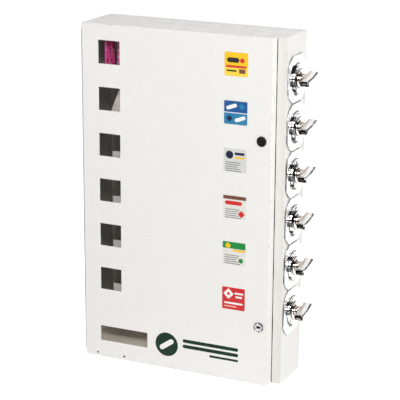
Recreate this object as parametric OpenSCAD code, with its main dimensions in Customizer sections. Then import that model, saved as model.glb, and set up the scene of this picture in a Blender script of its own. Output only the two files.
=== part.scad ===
// Wall-hung restroom vending machine: a sheet-metal cabinet with a hinged door,
// six lanes with wire coils, and six coin mechanisms on the right side.
// The origin is the centre of the wall face, +X to the viewer's right, +Y to the wall, +Z up.

/* [Cabinet] */
// Width of the cabinet
cabinet_w = 406.4; // [396:0.1:430]
// Height of the cabinet
cabinet_h = 660.4; // [650:0.1:700]
// Depth of the cabinet behind the door
cabinet_d = 95.25; // [94:0.05:115]
// Thickness of the steel sheet
sheet_t = 1.2; // [0.9:0.1:1.4]
// Width of the right front flange, which the lock cams catch
strip_w = 26; // [24:0.5:28]
// Width of the other front flanges
flange_w = 8; // [5:0.5:10]

/* [Door] */
// Depth of the door pan
door_d = 19.05; // [17:0.05:24]
// Strip of the cabinet front left bare to the right of the door
door_reveal = 19.05; // [17:0.05:22]
// Gap between the rim of the door and the cabinet
door_gap = 0.8; // [0.6:0.1:1.2]

/* [Windows and cards] */
// Left edge of the windows from the left side of the door
window_inset = 35; // [32:0.5:40]
// Width of a window
window_w = 45; // [38:0.5:50]
// Height of a window
window_h = 44.3; // [38:0.1:50]
// Height of a window's centre above the axis of its row
window_rise = 28; // [24:0.5:30]
// Thickness of the clear strip behind the windows
glazing_t = 2; // [1.5:0.1:3]
// Overlap of the clear strip beyond the windows
glazing_lap = 7; // [5:0.5:9]
// Width of a rail that holds the clear strip
rail_w = 11; // [9:0.5:12]
// Distance of a rail from the edge of the windows
rail_gap = 1; // [0.5:0.1:2]
// Thickness of the rail's lip over the clear strip
rail_lip_t = 1.2; // [1:0.1:2]
// Left edge of the cards from the left side of the door
card_inset = 293.3; // [285:0.1:300]
// Width of a card
card_w = 45.8; // [40:0.1:50]
// Height of a card
card_h = 43.2; // [38:0.1:48]
// Thickness of a card
card_t = 0.6; // [0.4:0.1:1]

/* [Delivery] */
// Left edge of the delivery slot from the left side of the door
slot_inset = 33.9; // [32:0.1:38]
// Width of the delivery slot
slot_w = 101.6; // [90:0.1:110]
// Height of the delivery slot
slot_h = 30.4; // [26:0.1:36]
// Lower edge of the delivery slot above the bottom of the door
slot_rise = 34.8; // [30:0.1:38]
// Step from the slot's lower edge down to the floor of the bin
bin_step = 2; // [1:0.5:4]
// Room beyond the right edge of the slot, inside the bin
bin_room = 3; // [2:0.5:6]
// Height of the bin's right wall above its floor
bin_wall_h = 50; // [40:1:56]
// Fold at the front edge of the bin's floor
bin_fold_h = 12; // [8:0.5:16]
// Gap between the bin's front edge and the door
bin_gap = 1.5; // [1:0.1:3]
// Width of the bin's tongue, in front of the chute
bin_tongue_w = 14; // [10:0.5:18]
// Radius of the curved chute under the drop shaft
chute_r = 32; // [28:0.5:33]
// Gap between the chute and the front flange
chute_gap = 1; // [0.5:0.1:3]
// Height of the chute's upright flange
chute_flange_h = 22; // [15:1:28]

/* [Rows] */
// Axis of the lowest row above the bottom of the cabinet
row_base = 135.5; // [133:0.1:145]
// Distance from row to row
row_pitch = 88.9; // [88.5:0.1:91]
// Axis of the rows behind the front of the cabinet
row_setback = 45; // [44.5:0.1:50]
// Left end of the trays from the left side of the cabinet
tray_inset = 34.5; // [34:0.5:35.5]
// Left end of the tray's lip from the left side of the cabinet
lip_inset = 47.6; // [46:0.1:52]
// Front of the trays behind the front of the cabinet
tray_setback = 10; // [8:0.1:10.5]
// Top of the tray's lip above the axis of the row
lip_rise = 10; // [4:0.5:14]
// Height of the lip above the tray's floor in the upper rows
low_lip_h = 5.4; // [3:0.1:6]
// Height of the tray's back flange above its floor
tray_flange_h = 13; // [11:0.5:15]
// Distance of the outer rivets from the ends of a tray
rivet_inset = 20; // [12:0.5:40]
// Radius of a rivet's shank
rivet_r = 1.6; // [1.2:0.1:2]
// Radius of a rivet's head
rivet_head_r = 3.2; // [2.6:0.1:4]
// Height of a rivet's head
rivet_head_h = 1.2; // [0.8:0.1:1.6]

/* [Vend coils] */
// Outer radius of a coil
coil_r = 32; // [30:0.1:32.5]
// Radius of the wire
wire_r = 2; // [1.5:0.1:2.5]
// Advance of a coil per turn
coil_pitch = 25.4; // [20:0.1:30]
// Left end of the coils from the left side of the cabinet
coil_inset = 78; // [77:0.5:90]
// Radius of the bend at a coil's fixed end
coil_bend_r = 6; // [5:0.5:8]
// Gap between a coil and the floor of its tray
coil_gap = 0.4; // [0.35:0.05:1]
// Thickness of the drive disc
disc_t = 4; // [3:0.5:5]
// Gap between the drive disc and the mechanism's housing
disc_gap = 2; // [1:0.5:3]

/* [Coin mechanisms] */
// Depth of a mechanism's plate
plate_w = 85; // [80:0.5:86]
// Height of a mechanism's plate
plate_h = 87; // [82:0.5:88]
// Radius of the plate's rounded corners, about its centre
plate_corner_r = 48.5; // [46:0.1:52]
// Thickness of the plate
plate_t = 3; // [2:0.5:4]
// Radius of the raised drum
drum_r = 27; // [26.5:0.1:29]
// Height of the raised drum above the plate
drum_h = 5; // [4:0.5:8]
// Depth of the recess in the drum's face
recess_d = 2; // [1.5:0.1:3]
// Step from the drum to the plate's neck in the wall
neck_step = 0.8; // [0.5:0.1:1.5]
// Gap around the handle's foot
foot_gap = 0.4; // [0.3:0.1:0.8]
// Radius of the handle's round foot
foot_r = 18; // [16:0.1:18.5]
// Height of the handle's round foot
foot_h = 2.5; // [2:0.1:4]
// Radius of the handle's hub
hub_r = 9; // [8:0.1:11]
// Length of the handle's hub
hub_l = 8.2; // [6:0.1:12]
// Span of the handle across its ears
handle_span = 55; // [48:0.5:60]
// Thickness of the handle's ears
ear_h = 12.5; // [10:0.1:14]
// Thickness of the handle at its waist
waist_h = 9; // [8:0.1:10]
// Length of the handle's ears along the shaft
ear_l = 18; // [12:0.5:22]
// Tilt of the handle at rest
handle_tilt = 12; // [0:1:45]
// Length of the coin slot
coin_slot_l = 25.2; // [24.5:0.1:25.5]
// Width of the coin slot
coin_slot_w = 2.4; // [2:0.1:2.6]
// Distance of the coin slot from the axis
coin_slot_off = 21.5; // [21:0.1:22]
// Direction of the coin slot, from the front towards the top
coin_slot_turn = 45; // [30:1:60]
// Radius of a spindle
spindle_r = 4; // [3:0.1:5]
// Running clearance of a shaft in its bore
run_gap = 0.05; // [0.02:0.01:0.08]
// Clearance of a fixed piece in its hole
fix_gap = 0.05; // [0.02:0.01:0.1]
// Depth of the spindle's end in the handle
socket_d = 12; // [8:0.5:14]
// Depth of a housing
housing_d = 30; // [28:0.5:32]
// Width and height of a housing
housing_w = 60; // [59:0.5:62]
// Wall of a housing
housing_t = 2.5; // [2:0.1:3]
// Height of the exit in the back of a housing
exit_h = 27; // [26:0.5:30]
// Width of the exit in the back of a housing
exit_w = 25.5; // [25:0.1:26]
// Radius of the coin carrier on the spindle
carrier_r = 22; // [18:0.5:24]
// Thickness of the coin carrier
carrier_t = 6; // [4:0.5:8]
// Depth of the coin carrier's pocket
pocket_d = 9; // [6:0.5:10]
// Distance of a stud from the axis
stud_off = 36; // [35:0.1:37]
// Radius of a stud
stud_r = 2.5; // [2:0.1:2.8]
// Thickness of a housing's lugs
lug_t = 1.5; // [1.2:0.1:2]
// Width of a housing's lugs
lug_w = 16; // [13:0.5:18]
// Length of a lug beyond the stud
lug_end = 5; // [4.8:0.1:6]
// Radius of a stud's nut, across its corners
nut_r = 4.6; // [4:0.1:4.8]
// Thickness of a stud's nut
nut_t = 3.5; // [3:0.1:5]
// Length of a stud beyond its nut
stud_end = 1.5; // [1:0.1:3]

/* [Coins] */
// Width of the channel's inner flange
channel_flange = 8; // [5:0.5:12]
// Gap between the channel and the housings
channel_gap = 0.6; // [0.5:0.1:1]
// Lower end of the channel below the lowest axis
channel_foot = 33; // [32:0.5:35]
// Upper end of the channel above the highest axis
channel_head = 34; // [30:0.5:40]
// Width of the coin box
box_w = 112; // [90:1:120]
// Height of the coin box
box_h = 90; // [80:1:90]
// Wall of the coin box
box_t = 1.2; // [1:0.1:1.6]
// Gap of the coin box to the cabinet's right wall and back
box_gap = 0.8; // [0.5:0.1:1.5]
// Front of the coin box behind the front of the cabinet
box_setback = 4; // [3:0.5:6]
// Radius of the finger hole in the coin box
finger_r = 12; // [9:0.5:14]

/* [Locks] */
// Lock axes from the right edge of the door
lock_inset = 19.35; // [18.5:0.05:20]
// Height of the upper lock above the bottom
upper_lock_rise = 471.3; // [460:0.1:480]
// Height of the lower lock above the bottom
lower_lock_rise = 115.3; // [112:0.1:130]
// Radius of a lock's bezel
bezel_r = 9.5; // [9:0.1:11]
// Height of a lock's bezel in front of the door
bezel_h = 2.2; // [1.5:0.1:4]
// Radius of a lock's barrel
barrel_r = 8; // [7.5:0.1:8.5]
// Radius of a lock's plug
plug_r = 5.5; // [5:0.1:6]
// Step of the plug behind the bezel's face
plug_step = 0.6; // [0.3:0.1:1]
// Length of the key slot
key_slot_l = 7; // [5:0.1:8]
// Width of the key slot
key_slot_w = 1.6; // [1.2:0.1:2]
// Depth of the key slot
key_slot_d = 10; // [6:0.5:14]
// Thickness of a cam
cam_t = 2; // [1.5:0.1:2.5]
// Width of a cam
cam_w = 13; // [12.5:0.1:15]
// Reach of a turned cam behind the strip
cam_lap = 11.6; // [8:0.1:13]
// Gap between a cam and the strip
cam_gap = 1; // [0.5:0.1:1.5]
// Radius of the plug's tail, which carries the cam
tail_r = 3; // [2.5:0.1:4]
// Length of the tail beyond the cam
tail_end = 2; // [1:0.1:3]
// Gap between a lock's barrel and its cam
barrel_gap = 0.4; // [0.3:0.1:0.8]
// Radius of a lock's nut, across its corners
lock_nut_r = 11; // [10:0.1:11.5]
// Thickness of a lock's nut
lock_nut_t = 3; // [2:0.1:4]

/* [Hinge] */
// Radius of a hinge knuckle
knuckle_r = 2.5; // [2.3:0.1:2.7]
// Radius of the hinge pin
pin_r = 1.2; // [1:0.1:1.4]
// Thickness of a hinge leaf
leaf_t = 1; // [0.8:0.1:1.2]
// Distance of a hinge leaf's edge from the face of the door
leaf_margin = 1; // [0.5:0.1:4]
// Gap between a knuckle and the other leaf
leaf_gap = 0.5; // [0.4:0.1:1]
// Gap from the hinge axis's knuckle to the left side
knuckle_gap = 0.4; // [0.3:0.1:0.6]
// Number of knuckles
knuckle_count = 13; // [9:2:21]
// Gap between two knuckles
knuckle_space = 0.4; // [0.3:0.1:0.8]
// Distance of the hinge's ends from the top and bottom
hinge_inset = 12; // [8:1:30]

/* [Wall bolts, rivets and stock] */
// Sideways distance between the wall bolts
bolt_spacing = 304.8; // [280:0.1:310]
// Radius of a wall-bolt hole
bolt_r = 3.5; // [3:0.1:4.5]
// Left rivet at the foot of the door, from its left side
foot_rivet_inset = 26.9; // [20:0.1:32]
// Distance between the two rivets at the foot of the door
foot_rivet_pitch = 57.9; // [50:0.1:64]
// Height of the rivets at the foot of the door
foot_rivet_rise = 8; // [6:0.1:9]
// Radius of the rivets at the foot of the door
foot_rivet_r = 1.4; // [1:0.1:1.8]
// Radius of those rivets' shanks
foot_shank_r = 0.9; // [0.6:0.1:0.9]
// Height of those rivets' heads
foot_rivet_h = 0.6; // [0.4:0.1:1]
// Thickness of a pack
pack_t = 7.5; // [6:0.1:8]
// Depth of a pack
pack_w = 38; // [34:0.5:42]
// Height of a pack
pack_h = 78; // [70:0.5:80]
// Thickness of a pack's crimped ends
crimp_t = 1; // [0.6:0.1:1.5]
// Length of a pack's crimped ends
crimp_l = 9; // [6:0.5:12]
// Left side of the first pack from the left side of the cabinet
pack_inset = 36; // [35.5:0.1:36.5]
// Distance from the first pack to the second
pack_pitch = 20; // [18:0.1:21]
// Front of the packs behind the lip of the tray
pack_setback = 1; // [0.5:0.1:2]
// Front of the first pack ahead of the tray
pack_overhang = 10; // [0:0.5:12]
// Width of the sachet that leans in the second row
sachet_w = 27; // [24:0.5:27]
// Height of that sachet
sachet_h = 66; // [62:0.5:68]
// Lower corner of that sachet from the left side of the cabinet
sachet_inset = 59.7; // [57:0.1:59.8]
// Lean of that sachet
sachet_lean = 22; // [20:1:22]

/* [Hidden] */
$fn = 48;
row_count = 6;
low_lip_rows = 2;
rows = [1:row_count];
cut = 1;
left = -cabinet_w / 2;
right = cabinet_w / 2;
bottom = -cabinet_h / 2;
top = cabinet_h / 2;
front = -cabinet_d;
face = front - door_d;
door_in = face + sheet_t;
door_back = front - door_gap;
door_w = cabinet_w - door_reveal;
door_right = left + door_w;
wall_in = right - sheet_t;
back_in = -sheet_t;
row_y = front + row_setback;
strip_x = right - strip_w;
tray_y = front + tray_setback;
floor_drop = coil_r + coil_gap;
housing_x = wall_in - housing_d;
disc_x = housing_x - disc_gap;
tray_right = disc_x;
bin_floor = bottom + slot_rise - bin_step;
chute_x = left + sheet_t + chute_r;
bin_right = left + slot_inset + slot_w + bin_room;
bin_front = door_in + bin_gap;
channel_y = row_y + housing_w / 2 + channel_gap;
lock_x = door_right - lock_inset;
cam_l = strip_x - lock_x + cam_lap;
cam_y = front + sheet_t + cam_gap;
hinge_x = left - knuckle_gap - knuckle_r;
hinge_y = (front + door_back) / 2;
hinge_l = cabinet_h - 2 * hinge_inset;
knuckle_l = hinge_l / knuckle_count;
neck_r = drum_r + neck_step;
foot_x = plate_t + drum_h - recess_d + foot_gap;
chute_z = bin_floor + chute_r - sheet_t;
leaf_edge = knuckle_r + leaf_gap;
leaf_w = hinge_y - face - leaf_edge - leaf_margin;
rivet_first = left + tray_inset + rivet_inset;
rivet_last = tray_right - rivet_inset;
rivet_xs = [rivet_first, (rivet_first + rivet_last) / 2, rivet_last];
locks_z = [bottom + upper_lock_rise, bottom + lower_lock_rise];

// Height of a row's axis, with the first row at the top
function row_z(k) = bottom + row_base + (row_count - k) * row_pitch;

// Height of the floor of a row's tray
function floor_z(k) = row_z(k) - floor_drop;

// Height of the middle of a row's window and card
function window_z(k) = row_z(k) + window_rise;

// A box from its lowest to its highest corner
module span(low, high) translate(low) cube(high - low);

// A round bar along +X
module bar_x(r, l) rotate([0, 90, 0]) cylinder(r = r, h = l);

// A round bar along +Y
module bar_y(r, l) rotate([-90, 0, 0]) cylinder(r = r, h = l);

// A round bar along +X that is right for cutting a wall of thickness l from x = 0
module cut_x(r, l) translate([-cut, 0, 0]) bar_x(r, l + 2 * cut);

// A round bar along +Y that is right for cutting a wall of thickness l from y = 0
module cut_y(r, l) translate([0, -cut, 0]) bar_y(r, l + 2 * cut);

// Places a piece on the outer face of the right wall, on a row's axis
module at_mech(k) translate([right, row_y, row_z(k)]) children();

// Places a piece on the two studs of a mechanism
module at_studs() for (side = [-1, 1]) translate([0, 0, side * stud_off]) children();

// The sheets of the cabinet, welded along their seams: the front frame, the bottom, the top and the sides
module cabinet_shell() color("ivory") {
    seam_y = front + sheet_t + fix_gap;
    difference() {
        span([left, front, bottom], [right, front + sheet_t, top]);
        span([left + flange_w, front - cut, bottom + flange_w],
            [strip_x, front + sheet_t + cut, top - flange_w]);
    }
    for (z = [bottom, top - sheet_t]) span([left, seam_y, z], [right, 0, z + sheet_t]);
    difference() {
        for (x = [left, wall_in])
            span([x, seam_y, bottom + sheet_t + fix_gap], [x + sheet_t, 0, top - sheet_t - fix_gap]);
        for (k = rows) at_mech(k) translate([-sheet_t, 0, 0]) {
            cut_x(neck_r + fix_gap, sheet_t);
            at_studs() cut_x(stud_r + fix_gap, sheet_t);
        }
    }
}

// Places a piece on each rivet of a row's tray
module at_rivets(k) for (x = rivet_xs)
    translate([x, back_in - sheet_t, floor_z(k) + tray_flange_h / 2]) children();

// The back of the cabinet, with its wall bolts in the free bands between the rows
module back_panel() color("gainsboro") difference() {
    span([left + sheet_t, back_in, bottom + sheet_t], [wall_in, 0, top - sheet_t]);
    for (side = [-1, 1], k = [2, row_count])
        translate([side * bolt_spacing / 2, back_in, row_z(k) + row_pitch / 2]) cut_y(bolt_r, sheet_t);
    for (k = rows) at_rivets(k) cut_y(rivet_r + fix_gap, 2 * sheet_t);
}

// One sheet shelf with its front lip, which is low in the upper rows
module tray(k) color("whitesmoke") difference() {
    lip_top = k > low_lip_rows ? row_z(k) + lip_rise : floor_z(k) + low_lip_h;
    union() {
        span([left + tray_inset, tray_y, floor_z(k) - sheet_t], [tray_right, back_in, floor_z(k)]);
        span([left + lip_inset, tray_y, floor_z(k) - sheet_t], [tray_right, tray_y + sheet_t, lip_top]);
        span([left + tray_inset, back_in - sheet_t, floor_z(k) - sheet_t],
            [tray_right, back_in, floor_z(k) + tray_flange_h]);
    }
    at_rivets(k) cut_y(rivet_r + fix_gap, 2 * sheet_t);
}

// Rivets that hold the trays to the back, flush with the wall face
module tray_rivets() color("silver") for (k = rows) at_rivets(k) {
    bar_y(rivet_r, 2 * sheet_t);
    rotate([90, 0, 0]) cylinder(r1 = rivet_head_r, r2 = rivet_r, h = rivet_head_h);
}

// The slot that takes the coin, as a cutter
module coin_slot() rotate([-coin_slot_turn, 0, 0])
    translate([-sheet_t - cut, -coin_slot_off - coin_slot_w / 2, -coin_slot_l / 2])
        cube([sheet_t + plate_t + drum_h + 2 * cut, coin_slot_w, coin_slot_l]);

// The chromed plate of one mechanism, with its drum, neck and studs
module mech_plate(k) color("silver") at_mech(k) difference() {
    union() {
        rotate([90, 0, 90]) linear_extrude(plate_t) intersection() {
            square([plate_w, plate_h], center = true);
            circle(plate_corner_r, $fn = 96);
        }
        bar_x(drum_r, plate_t + drum_h);
        translate([-sheet_t, 0, 0]) bar_x(neck_r, sheet_t);
        stud_l = sheet_t + lug_t + nut_t + stud_end;
        translate([-stud_l, 0, 0]) at_studs() bar_x(stud_r, stud_l);
    }
    translate([plate_t + drum_h - recess_d, 0, 0]) bar_x(foot_r + foot_gap, recess_d + cut);
    translate([-sheet_t, 0, 0]) cut_x(spindle_r + run_gap, sheet_t + plate_t + drum_h);
    coin_slot();
}

// The coin's way out through a wall behind the mechanism, as a cutter from the inner face of the right wall
module coin_exit(wall) translate([-(housing_d - housing_t + exit_w) / 2, -cut, -exit_h / 2])
    cube([exit_w, wall + 2 * cut, exit_h]);

// The body of one mechanism, inside the right wall
module mech_housing(k) color("slategray") at_mech(k) translate([-sheet_t, 0, 0]) difference() {
    half = housing_w / 2;
    inner = half - housing_t;
    lug_reach = stud_off + lug_end;
    union() {
        span([-housing_d, -half, -half], [0, half, half]);
        span([-lug_t, -lug_w / 2, -lug_reach], [0, lug_w / 2, lug_reach]);
    }
    span([housing_t - housing_d, -inner, -inner], [cut, inner, inner]);
    translate([-housing_d, 0, 0]) cut_x(spindle_r + run_gap, housing_t);
    translate([-lug_t, 0, 0]) at_studs() cut_x(stud_r + fix_gap, lug_t);
    translate([0, inner, 0]) coin_exit(housing_t);
}

// Nuts on the studs, one pair to a mechanism
module mech_nuts() color("silver") for (k = rows)
    at_mech(k) translate([-sheet_t - lug_t - nut_t, 0, 0]) at_studs() difference() {
        rotate([0, 90, 0]) cylinder(r = nut_r, h = nut_t, $fn = 6);
        cut_x(stud_r + fix_gap, nut_t);
    }

// One half of the handle's outline, from the waist to an ear
module handle_wing(side) hull() {
    translate([side * (handle_span - ear_h) / 2, 0]) circle(d = ear_h, $fn = 32);
    circle(d = waist_h, $fn = 32);
}

// The butterfly handle of one mechanism
module handle(k) color("silver") at_mech(k) rotate([handle_tilt, 0, 0]) translate([foot_x, 0, 0]) difference() {
    union() {
        bar_x(foot_r, foot_h);
        bar_x(hub_r, foot_h + hub_l);
        translate([foot_h + hub_l, 0, 0]) rotate([90, 0, 90]) linear_extrude(ear_l) {
            handle_wing(-1);
            handle_wing(1);
        }
    }
    translate([-cut, 0, 0]) bar_x(spindle_r + fix_gap, socket_d + cut);
}

// The shaft of one row, with its coin carrier and drive disc
module spindle(k) color("gray") {
    disc_u = disc_x - right;
    at_mech(k) translate([disc_u, 0, 0]) bar_x(spindle_r, foot_x + socket_d - disc_u);
    at_mech(k) translate([disc_u - disc_t, 0, 0]) bar_x(coil_r, disc_t);
    at_mech(k) translate([-sheet_t - (housing_d + carrier_t) / 2, 0, 0]) difference() {
        bar_x(carrier_r, carrier_t);
        rotate([-coin_slot_turn, 0, 0]) translate([-cut, -carrier_r - cut, -coin_slot_l / 2])
            cube([carrier_t + 2 * cut, pocket_d + cut, coin_slot_l]);
    }
}

// The wire of a coil: it leaves the drive disc square, bends round and winds to the left.
// Each entry of the route holds the way round the coil, the place along it and its direction.
coil_rings = 8;
bend_rings = 4;
wire_sides = 6;
wind_r = coil_r - wire_r;
wind_slope = atan(coil_pitch / (2 * PI * wind_r));
bend_x = disc_x - disc_t - 2 * wire_r;
bend_turn = 90 - wind_slope;
wind_s = coil_bend_r * (1 - cos(bend_turn));
wind_x = bend_x - coil_bend_r * sin(bend_turn);
ring_step = coil_pitch / coil_rings;
wind_count = floor((wind_x - left - coil_inset - wire_r) / ring_step);
coil_route = concat(
    [[0, disc_x - disc_t, 0, -1]],
    [for (i = [0:bend_rings]) let (a = bend_turn * i / bend_rings)
        [coil_bend_r * (1 - cos(a)), bend_x - coil_bend_r * sin(a), sin(a), -cos(a)]],
    [for (i = [1:wind_count])
        [wind_s + i * 2 * PI * wind_r / coil_rings, wind_x - i * ring_step, cos(wind_slope), -sin(wind_slope)]]
);

// Angle round the coil at a place on its route
function wind_angle(p) = p[0] / wind_r * 180 / PI;

// Middle of the wire at a place on its route
function wire_point(p) = [p[1], wind_r * cos(wind_angle(p)), wind_r * sin(wind_angle(p))];

// Ring of points round the wire at a place on its route
function wire_ring(p) = let (
    a = wind_angle(p),
    out = [0, cos(a), sin(a)],
    along = [p[3], -p[2] * sin(a), p[2] * cos(a)],
    across = cross(along, out)
) [for (j = [0:wire_sides - 1]) let (b = j * 360 / wire_sides)
    wire_point(p) + wire_r * (cos(b) * out + sin(b) * across)];

wire_points = [for (p = coil_route) each wire_ring(p)];
wire_last = wire_sides * (len(coil_route) - 1);
wire_faces = concat(
    [for (i = [0:len(coil_route) - 2], j = [0:wire_sides - 1])
        let (
            a = i * wire_sides + j,
            b = a + wire_sides,
            d = i * wire_sides + (j + 1) % wire_sides,
            c = d + wire_sides
        )
        each [[a, b, c], [a, c, d]]],
    [for (j = [1:wire_sides - 2]) [0, j, j + 1]],
    [for (j = [1:wire_sides - 2]) [wire_last, wire_last + j + 1, wire_last + j]]
);

// Least gap of the wire to itself, between places more than half a turn apart
wire_middles = [for (p = coil_route) wire_point(p)];
wire_gap = min([for (i = [0:len(coil_route) - 1], j = [i + coil_rings / 2 + 1:1:len(coil_route) - 1])
    norm(wire_middles[i] - wire_middles[j])]) - 2 * wire_r;
echo(str("Least gap of a coil's wire to itself, mm: ", wire_gap));

// The wire coil of one row
module coil(k) color("darkgray") translate([0, row_y, row_z(k)])
    polyhedron(points = wire_points, faces = wire_faces);

// The upright channel behind the mechanisms, three welded strips, which leads the coins down
module coin_channel() color("gainsboro") difference() {
    low = row_z(row_count) - channel_foot;
    high = row_z(1) + channel_head;
    seam_x = housing_x + sheet_t + fix_gap;
    union() {
        span([seam_x, channel_y, low], [wall_in, channel_y + sheet_t, high]);
        span([housing_x, channel_y, low], [housing_x + sheet_t, back_in, high]);
        span([seam_x, back_in - sheet_t, low], [housing_x + channel_flange, back_in, high]);
    }
    for (k = rows) translate([wall_in, channel_y, row_z(k)]) coin_exit(sheet_t);
}

// The box that catches the coins
module coin_box() color("lightslategray") difference() {
    low = [wall_in - box_gap - box_w, front + box_setback, bottom + sheet_t];
    high = [wall_in - box_gap, back_in - box_gap, bottom + sheet_t + box_h];
    span(low, high);
    span(low + [box_t, box_t, box_t], high + [-box_t, -box_t, cut]);
    translate([(low[0] + high[0]) / 2, low[1], high[2] - 2 * finger_r]) cut_y(finger_r, box_t);
}

// The curved sheet under the drop shaft
module drop_chute() color("whitesmoke") {
    chute_y = front + sheet_t + chute_gap;
    length = back_in - chute_y;
    intersection() {
        translate([chute_x, chute_y, chute_z]) difference() {
            bar_y(chute_r, length);
            cut_y(chute_r - sheet_t, length);
        }
        span([chute_x - chute_r, chute_y, chute_z - chute_r], [chute_x, back_in, chute_z]);
    }
    span([left + sheet_t, chute_y, chute_z], [left + 2 * sheet_t, back_in, chute_z + chute_flange_h]);
}

// The open bin behind the delivery slot, which stands on its right wall, with a tongue before the chute
module delivery_bin() color("whitesmoke") {
    under = bin_floor - sheet_t;
    leg_y = front + sheet_t + chute_gap;
    tongue_x = chute_x - bin_tongue_w;
    span([chute_x, bin_front, under], [bin_right, back_in, bin_floor]);
    span([tongue_x, bin_front, under], [bin_right, front + sheet_t, bin_floor]);
    span([tongue_x, bin_front, bin_floor - bin_fold_h], [bin_right, bin_front + sheet_t, bin_floor]);
    span([bin_right - sheet_t, bin_front, under], [bin_right, back_in, bin_floor + bin_wall_h]);
    span([bin_right - sheet_t, leg_y, bottom + sheet_t], [bin_right, back_in, bin_floor]);
}

// One leaf of the continuous hinge: side 1 is the cabinet's, side -1 the door's
module hinge_leaf(side) color("silver") difference() {
    near = hinge_y + side * leaf_edge;
    far = near + side * leaf_w;
    low = bottom + hinge_inset;
    first = side > 0 ? 0 : 1;
    union() {
        span([left - leaf_t, min(near, far), low], [left, max(near, far), low + hinge_l]);
        for (i = [first:2:knuckle_count - 1]) translate([0, 0, low + i * knuckle_l + knuckle_space / 2]) {
            translate([hinge_x, hinge_y, 0]) cylinder(r = knuckle_r, h = knuckle_l - knuckle_space);
            span([left - leaf_t, min(near, hinge_y), 0], [left, max(near, hinge_y), knuckle_l - knuckle_space]);
        }
    }
    translate([hinge_x, hinge_y, low - cut]) cylinder(r = pin_r + run_gap, h = hinge_l + 2 * cut);
}

module hinge_cabinet_leaf() hinge_leaf(1);

module hinge_door_leaf() hinge_leaf(-1);

// The pin of the hinge
module hinge_pin() color("gray")
    translate([hinge_x, hinge_y, bottom + hinge_inset]) cylinder(r = pin_r, h = hinge_l);

// A flat pouch with crimped ends, standing on the middle of its lower end
module pack(w, h) hull() {
    translate([-pack_t / 2, 0, crimp_l]) cube([pack_t, w, h - 2 * crimp_l]);
    translate([-crimp_t / 2, 0, 0]) cube([crimp_t, w, h]);
}

// The packs left in the two upper lanes: two upright, and a sachet that leans on its lower corner
module stock_packs() {
    pack_x = left + pack_inset + pack_t / 2;
    pack_y = tray_y + sheet_t + pack_setback;
    color("deeppink") {
        translate([pack_x, tray_y - pack_overhang, floor_z(1)]) pack(pack_w, pack_h);
        translate([pack_x + pack_pitch, pack_y, floor_z(1)]) pack(pack_w, pack_h);
    }
    color("tan") translate([left + sachet_inset, pack_y + pack_t / 2, floor_z(2)])
        rotate([0, sachet_lean, 0]) rotate([0, 0, 90]) pack(sachet_w, sachet_h);
}

// The folded steel pan of the door
module door_panel() color("ivory") difference() {
    span([left, face, bottom], [door_right, door_back, top]);
    span([left + sheet_t, door_in, bottom + sheet_t], [door_right - sheet_t, door_back + cut, top - sheet_t]);
    for (k = rows) translate([left + window_inset, face - cut, window_z(k) - window_h / 2])
        cube([window_w, sheet_t + 2 * cut, window_h]);
    translate([left + slot_inset, face - cut, bottom + slot_rise]) cube([slot_w, sheet_t + 2 * cut, slot_h]);
    for (z = locks_z) translate([lock_x, face, z]) cut_y(barrel_r + fix_gap, sheet_t);
    at_foot_rivets() cut_y(foot_shank_r + fix_gap, sheet_t);
}

// Lower and upper end of the clear strip behind the windows
glazing_low = window_z(row_count) - window_h / 2 - glazing_lap;
glazing_high = window_z(1) + window_h / 2 + glazing_lap;

// The clear strip behind the windows
module window_glazing() color("lightcyan", 0.4) span(
    [left + window_inset - glazing_lap, door_in, glazing_low],
    [left + window_inset + window_w + glazing_lap, door_in + glazing_t, glazing_high]);

// The two rails that hold the clear strip against the door
module glazing_rails() color("gainsboro") difference() {
    back = door_in + glazing_t;
    pane = left + window_inset - glazing_lap - fix_gap;
    for (x = [left + window_inset - rail_gap - rail_w, left + window_inset + window_w + rail_gap])
        span([x, door_in, glazing_low], [x + rail_w, back + rail_lip_t, glazing_high]);
    span([pane, door_in - cut, glazing_low - cut],
        [pane + window_w + 2 * (glazing_lap + fix_gap), back, glazing_high + cut]);
}

// The display cards on the face of the door
module product_cards() color("gold") for (k = rows)
    translate([left + card_inset, face - card_t, window_z(k) - card_h / 2]) cube([card_w, card_t, card_h]);

// The fixed barrel of a lock, with its bezel on the face of the door
module lock_barrel(z) translate([lock_x, face - bezel_h, z]) difference() {
    length = cam_y - barrel_gap - face + bezel_h;
    union() {
        bar_y(bezel_r, bezel_h);
        bar_y(barrel_r, length);
    }
    cut_y(plug_r + run_gap, length);
}

// The turning plug of a lock, with its key slot and the tail that carries the cam
module lock_plug(z) translate([lock_x, face - bezel_h + plug_step, z]) difference() {
    length = cam_y - face + bezel_h - plug_step;
    union() {
        bar_y(plug_r, length);
        bar_y(tail_r, length + cam_t + tail_end);
    }
    translate([-key_slot_l / 2, -cut, -key_slot_w / 2]) cube([key_slot_l, key_slot_d + cut, key_slot_w]);
}

// The cam of a lock: upright when unlocked, and behind the strip when turned to the right
module lock_cam(z) color("silver") translate([lock_x, cam_y, z]) difference() {
    union() {
        bar_y(cam_w / 2, cam_t);
        translate([-cam_w / 2, 0, 0]) cube([cam_w, cam_t, cam_l]);
    }
    cut_y(tail_r + fix_gap, cam_t);
}

module upper_lock_barrel() color("dimgray") lock_barrel(locks_z[0]);

module upper_lock_plug() color("dimgray") lock_plug(locks_z[0]);

module upper_lock_cam() lock_cam(locks_z[0]);

module lower_lock_barrel() color("silver") lock_barrel(locks_z[1]);

module lower_lock_plug() color("silver") lock_plug(locks_z[1]);

module lower_lock_cam() lock_cam(locks_z[1]);

// Nuts that hold the lock barrels behind the face of the door
module lock_nuts() color("silver") for (z = locks_z) translate([lock_x, door_in, z]) difference() {
    rotate([-90, 0, 0]) cylinder(r = lock_nut_r, h = lock_nut_t, $fn = 6);
    cut_y(barrel_r + fix_gap, lock_nut_t);
}

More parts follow.
